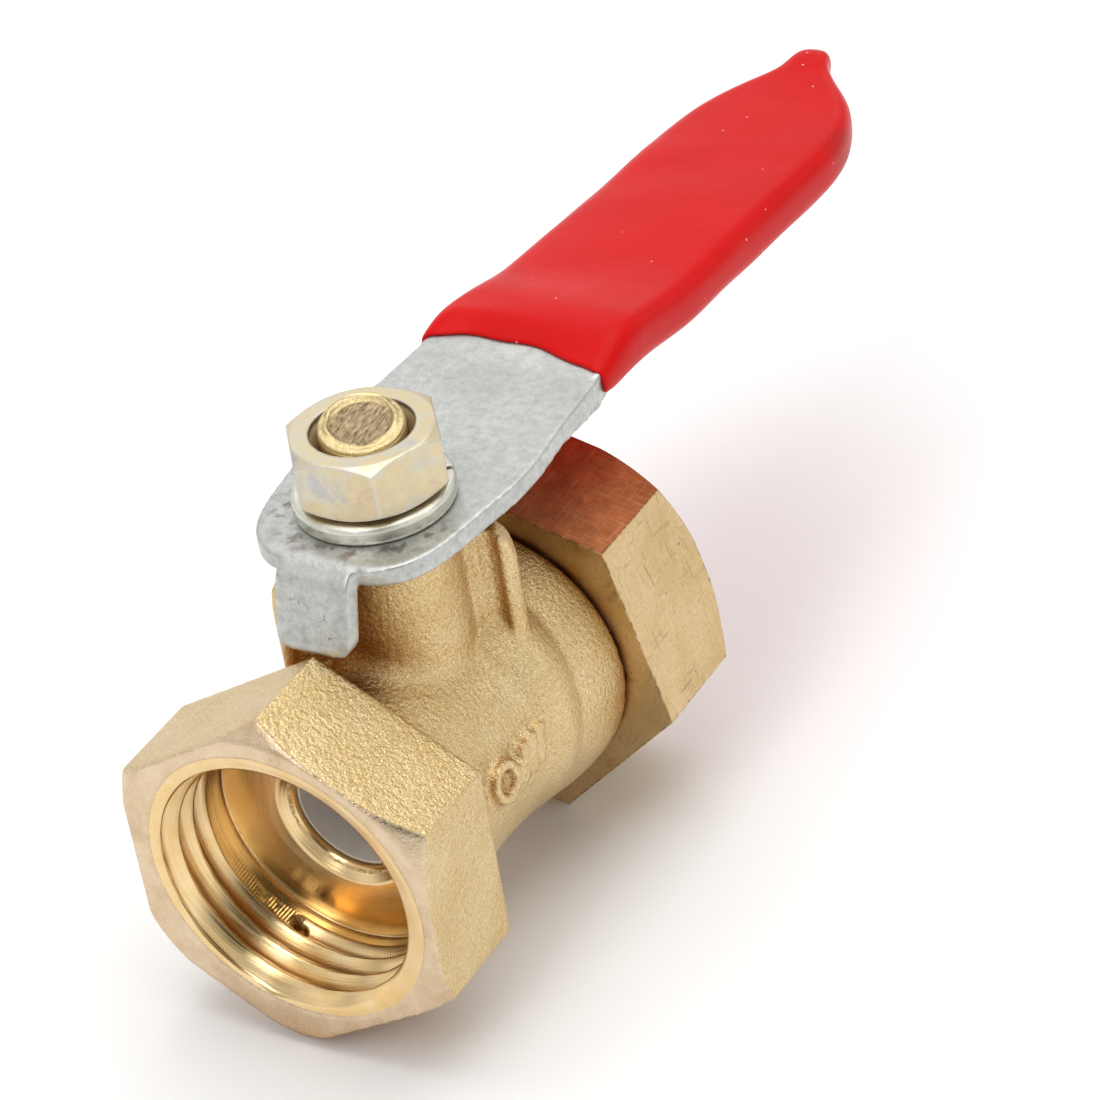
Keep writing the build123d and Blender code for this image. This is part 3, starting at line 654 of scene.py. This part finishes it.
def socket(mouth, inward, side):
    """Threaded socket wall, floor and port lip, from a mouth inwards, as one turned skin."""
    last_row = int(SOCKET_WALL / SOCKET_ROW)
    rows = [(SOCKET_TOP, MOUTH_R + MOUTH_BURIED)]
    rows += [(index * SOCKET_ROW, None) for index in range(2, last_row + 1)]
    rows += SOCKET_FLOOR
    points = []
    for depth, radius in rows:
        for column in range(SOCKET_COLUMNS):
            turn = column / SOCKET_COLUMNS
            reach = radius or thread_radius(turn, depth)
            angle = 2 * math.pi * turn
            points.append((side * reach * math.sin(angle), mouth + inward * depth,
                           reach * math.cos(angle)))
    return points, sheet_faces(len(rows), SOCKET_COLUMNS)


def add_sockets(skin):
    for name, mount, inward, side in SOCKETS:
        mouth = MOUNTS[mount]["pos_m"][1] / MM
        points, faces = socket(mouth, inward, side)
        if side * inward > 0:
            faces = [tuple(reversed(face)) for face in faces]
        add_piece(name, points, faces, skin, "valve_body")


def soften(thing, voxel, rounds):
    """Rounds a mesh's corners in geometry: even remesh, then smoothing."""
    remesh = thing.modifiers.new("even_mesh", "REMESH")
    remesh.mode = "VOXEL"
    remesh.voxel_size = voxel * MM
    remesh.use_smooth_shade = True
    smooth = thing.modifiers.new("soft_corners", "SMOOTH")
    smooth.factor = 0.5
    smooth.iterations = rounds


def add_sleeve(skin):
    """Vinyl sleeve: its CAD shape made even and soft, with a wavy mouth and faint ripples."""
    source = NODES["lever_sleeve"]
    draft = link(bpy.data.objects.new("sleeve_draft", source.data.copy()))
    soften(draft, *SOFT_SLEEVE)
    made = draft.evaluated_get(bpy.context.evaluated_depsgraph_get())
    mesh = bpy.data.meshes.new_from_object(made)
    bpy.data.objects.remove(draft)
    low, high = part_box("lever_sleeve")
    half = (high.x - low.x) / 2
    upward = [max(0.0, vertex.normal.z) for vertex in mesh.vertices]
    for vertex, up in zip(mesh.vertices, upward):
        place = vertex.co
        across = (place.x - low.x) / half - 1
        hold = max(0.0, 1 - (place.y - low.y) / MOUTH_FADE) ** 2
        wave = MOUTH_WAVE * math.sin(across * MOUTH_WAVES)
        back = hold * (MOUTH_BOW * (1 - across * across) - MOUTH_SKEW * across + wave)
        ripple = noise.noise(place / RIPPLE_SIZE) * RIPPLE_RISE * (1 - hold)
        left = max(0.0, CROWN_START - across)
        crown = CROWN * left * left * up * (1 - hold) ** 4
        place.y += max(back, 0.0)
        place.z += back * MOUTH_RISE + ripple * min(1.0, (high.z - place.z) / RIPPLE_RISE) - crown
    mesh.materials.clear()
    mesh.materials.append(skin)
    piece = link(bpy.data.objects.new("vinyl_sleeve", mesh))
    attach(piece, "lever")
    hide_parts("lever_sleeve")


def add_stem_end(skin):
    """Sawn end of the stem: a sloping rim, a ragged burr and a rough middle sunk to one side."""
    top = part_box("stem")[1].z / MM
    uphill = Vector((-math.sin(SAW_SIDE), math.cos(SAW_SIDE)))
    points = []
    for radius, rise in STEM_RINGS:
        inner = radius < BURR_R
        for column in range(STEM_COLUMNS):
            angle = 2 * math.pi * column / STEM_COLUMNS
            wander = noise.noise(Vector((math.cos(angle), math.sin(angle), radius)) * WANDER_PACE)
            reach = radius * (1 + RING_WANDER * wander * inner)
            x = reach * math.cos(angle) + SUNK_SHIFT * uphill.x * inner * radius
            y = reach * math.sin(angle) + SUNK_SHIFT * uphill.y * inner * radius
            slope = (x * uphill.x + y * uphill.y) * math.tan(SAW_TILT)
            burr = BURR_RISE * (wander + slope) * (SUNK_R < radius < BURR_R)
            grain = Vector((x * SAWN_GRAIN[0], y * SAWN_GRAIN[1], 0))
            sawn = SAWN_RISE * noise.noise(grain) * (radius < SUNK_R)
            height = SAW_MIDDLE + slope + max(0.02, rise + burr + sawn) * (rise > -0.1)
            points.append((STEM.x / MM + x, STEM.y / MM + y, min(height + min(rise, 0), top)))
    faces = sheet_faces(len(STEM_RINGS), STEM_COLUMNS)
    faces.append(list(range(len(points) - STEM_COLUMNS, len(points))))
    faces.append(list(reversed(range(STEM_COLUMNS))))
    add_piece("stem_end", points, faces, skin, "lever")


def build():
    skins = {slot: make() for slot, make in FINISHES.items()}
    dress_nodes(skins)
    soften(NODES["body"], *SOFT_BODY)
    soften(NODES["lever"], *SOFT_LEVER)
    add_sockets(bore_brass())
    add_sleeve(skins["red_vinyl"])
    add_stem_end(sawn_brass())


add_camera()
add_studio()
add_floor()
build()
